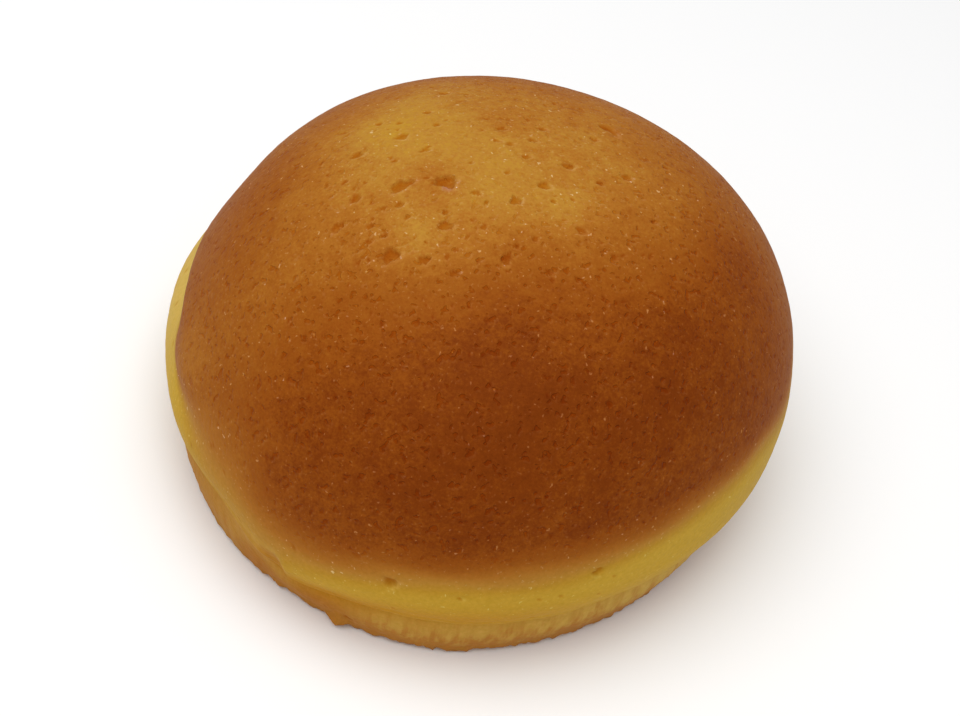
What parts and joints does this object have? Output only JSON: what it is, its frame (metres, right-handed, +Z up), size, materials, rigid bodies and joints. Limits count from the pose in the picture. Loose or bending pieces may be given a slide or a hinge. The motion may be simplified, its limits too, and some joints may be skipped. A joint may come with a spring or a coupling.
{
  "type": "milk boule",
  "caption": "Round milk bun with a browned dome, a soft pale skirt that overhangs a low foot at a crease, and a flat baked underside to rest on.",
  "frame": {"origin": "on the flat underside, below the middle of the loaf's plan box", "axes": "+Z up from the underside to the crown, -Y towards the side that the picture shows, +X to the right of that side"},
  "size_m": [0.107, 0.1054, 0.061],
  "materials": {
    "crust": "baked milk bread: brown matt crust on the dome, golden near the crown, egg-yellow skirt, tan foot"
  },
  "bodies": {
    "root": {"boule": "crust"}
  },
  "joints": []
}
